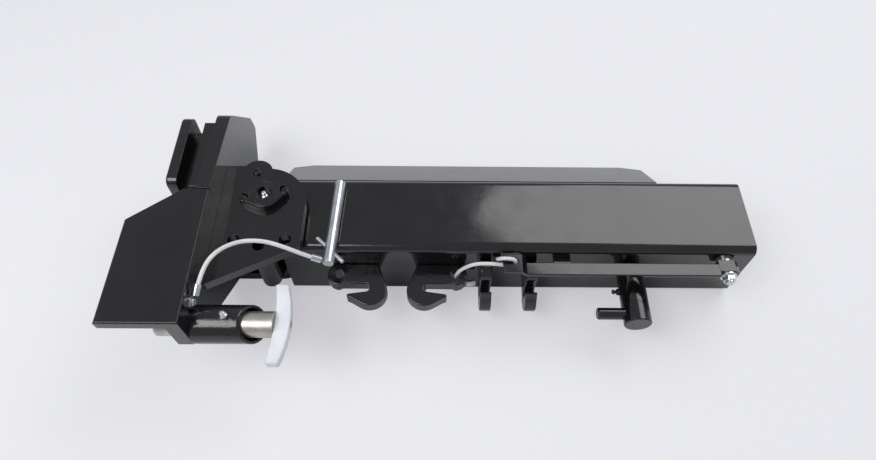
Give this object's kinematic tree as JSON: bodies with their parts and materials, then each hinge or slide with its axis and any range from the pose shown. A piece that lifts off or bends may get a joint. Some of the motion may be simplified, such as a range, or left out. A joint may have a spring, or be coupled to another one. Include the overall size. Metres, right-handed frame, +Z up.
{
  "type": "pivoting hitch arm",
  "caption": "Swinging hitch arm: a box tube with grab hooks, tread step and pull lock, on a vertical pivot in a quick-attach head plate with a spring plunger.",
  "frame": {"origin": "centre of the part's footprint on the surface it stands on", "axes": "+X along the arm tube from the pivot to its open end, +Z up along the pivot pin, +Y away from the side that carries the hooks"},
  "size_m": [0.7106, 0.3665, 0.157],
  "materials": {
    "black_enamel": "gloss enamel over weldments and castings",
    "zinc_plate": "bright zinc plate",
    "nickel_pin": "satin nickel plate",
    "white_coating": "white coating, semi gloss",
    "white_cable": "vinyl coated wire rope",
    "bronze": "sintered bronze"
  },
  "bodies": {
    "head": {"back_plate": "black_enamel", "wing_plate": "black_enamel", "rail_hook": "black_enamel", "rail_spacer": "black_enamel", "top_ear": "black_enamel", "bottom_ear": "black_enamel", "pivot_pin": "black_enamel", "keeper_flange": "black_enamel", "keeper_bolts": "black_enamel", "lobe_screw": "black_enamel", "pivot_zerk": "zinc_plate", "thrust_washer_low": "bronze", "thrust_washer_top": "bronze", "lock_collar": "black_enamel", "collar_guide": "bronze", "collar_zerk": "zinc_plate", "plunger_spring": "zinc_plate", "tether_screw": "zinc_plate", "tether_eyelet": "zinc_plate", "tether_ferrule_head": "zinc_plate", "tether_cable": "white_cable"},
    "arm": {"arm_tube": "black_enamel", "knuckle": "black_enamel", "bushing_low": "bronze", "bushing_top": "bronze", "tread_step": "black_enamel", "step_brackets": "black_enamel", "grab_hook_1": "black_enamel", "grab_hook_2": "black_enamel", "grab_hook_3": "black_enamel", "grab_hook_4": "black_enamel", "lock_sleeve": "black_enamel", "sleeve_zerk": "black_enamel", "lock_spring": "zinc_plate", "lever_stud": "zinc_plate", "lever_nut": "zinc_plate", "lever_spacer": "zinc_plate", "lever_rest": "black_enamel", "release_cable": "white_cable", "release_ferrule": "zinc_plate", "cable_clip": "black_enamel"},
    "plunger": {"plunger_pin": "nickel_pin", "plunger_retainer": "nickel_pin", "plunger_handle": "white_coating"},
    "lever": {"lever_bar": "black_enamel", "lever_block": "black_enamel", "catch_saddle": "black_enamel"},
    "pull_lock": {"lock_pin": "black_enamel", "lock_head": "black_enamel", "lock_grip": "black_enamel"},
    "lock_hitch_pin": {"hitch_pin": "zinc_plate", "cross_pin": "zinc_plate", "tether_band": "zinc_plate", "tether_ferrule_pin": "zinc_plate"}
  },
  "joints": [
    {"name": "arm_swing", "type": "hinge", "parent": "head", "child": "arm", "pos_m": [-0.21925, 0.01875, 0], "axis": [0, 0, 1], "range_deg": [-26.7, 26.7]},
    {"name": "plunger_pull", "type": "slide", "parent": "head", "child": "plunger", "axis": [1, 0, 0], "range_m": [0, 0.025], "stiffness_N_per_m": 800, "springref_m": -0.02, "deforming": ["plunger_spring"]},
    {"name": "lever_lift", "type": "hinge", "parent": "arm", "child": "lever", "pos_m": [0.32375, -0.03905, 0.08], "axis": [0, 1, 0], "range_deg": [0, 75], "deforming": ["release_cable"]},
    {"name": "lock_pull", "type": "slide", "parent": "arm", "child": "pull_lock", "axis": [0, -1, 0], "range_m": [0, 0.016], "stiffness_N_per_m": 500, "springref_m": -0.02, "deforming": ["lock_spring"]},
    {"name": "hitch_pin_lift", "type": "slide", "parent": "head", "child": "lock_hitch_pin", "axis": [0, 0, 1], "range_m": [0, 0.05], "deforming": ["tether_cable"]}
  ]
}
